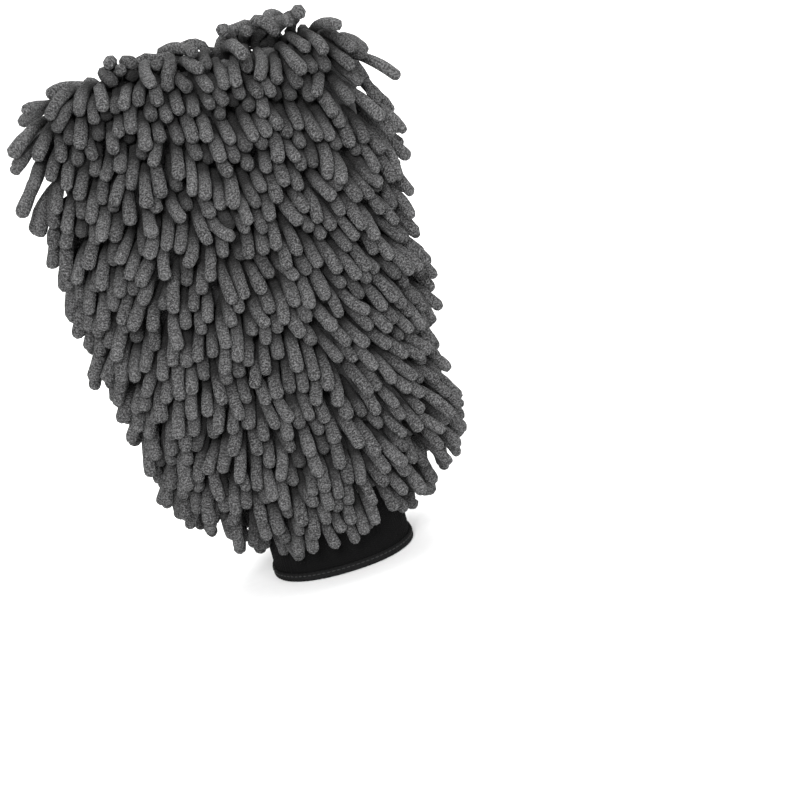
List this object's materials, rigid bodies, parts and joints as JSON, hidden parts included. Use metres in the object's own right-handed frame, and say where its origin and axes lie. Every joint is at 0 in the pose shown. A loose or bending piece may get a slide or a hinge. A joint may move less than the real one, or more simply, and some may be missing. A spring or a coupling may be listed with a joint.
{
  "type": "wash mitt",
  "caption": "Hand-washing mitt: a soft two-faced bag covered in drooping chenille noodles, lined inside, with a short knitted elastic cuff around its mouth.",
  "frame": {"origin": "centre of the cuff's mouth, in the plane of the hem's lower edge, where the hand goes in", "axes": "+Z from the cuff to the closed end, +X across the width, -Y the way the front face looks"},
  "size_m": [0.1844, 0.098, 0.266],
  "materials": {
    "chenille": "dark grey microfibre chenille noodles, matt and felted, with fine crosswise rings and a soft sheen",
    "backing": "dark grey knitted polyester mesh that the noodles are rooted in, matt",
    "lining": "grey woven polyester lining, slight sheen",
    "cuff_knit": "black ribbed elastic knit, soft and matt",
    "cuff_hem": "black folded knit edge with a stitched line, slightly lighter along its fold",
    "elastic": "off-white covered elastic webbing, sealed inside the cuff",
    "seam_thread": "black overlocked polyester seam, matt"
  },
  "bodies": {
    "root": {"front_backing": "backing", "back_backing": "backing", "side_seam": "seam_thread", "front_lining": "lining", "back_lining": "lining", "lining_seam": "seam_thread", "mouth_seam": "seam_thread", "cuff_outer": "cuff_knit", "cuff_inner": "cuff_knit", "cuff_elastic": "elastic", "cuff_hem": "cuff_hem", "front_noodles_01": "chenille", "back_noodles_01": "chenille", "front_noodles_02": "chenille", "back_noodles_02": "chenille", "front_noodles_03": "chenille", "back_noodles_03": "chenille", "front_noodles_04": "chenille", "back_noodles_04": "chenille", "front_noodles_05": "chenille", "back_noodles_05": "chenille", "front_noodles_06": "chenille", "back_noodles_06": "chenille", "front_noodles_07": "chenille", "back_noodles_07": "chenille", "front_noodles_08": "chenille", "back_noodles_08": "chenille", "front_noodles_09": "chenille", "back_noodles_09": "chenille", "front_noodles_10": "chenille", "back_noodles_10": "chenille", "front_noodles_11": "chenille", "back_noodles_11": "chenille", "front_noodles_12": "chenille", "back_noodles_12": "chenille", "front_noodles_13": "chenille", "back_noodles_13": "chenille", "front_noodles_14": "chenille", "back_noodles_14": "chenille", "front_noodles_15": "chenille", "back_noodles_15": "chenille", "front_noodles_16": "chenille", "back_noodles_16": "chenille", "front_noodles_crown": "chenille", "back_noodles_crown": "chenille"}
  },
  "joints": []
}
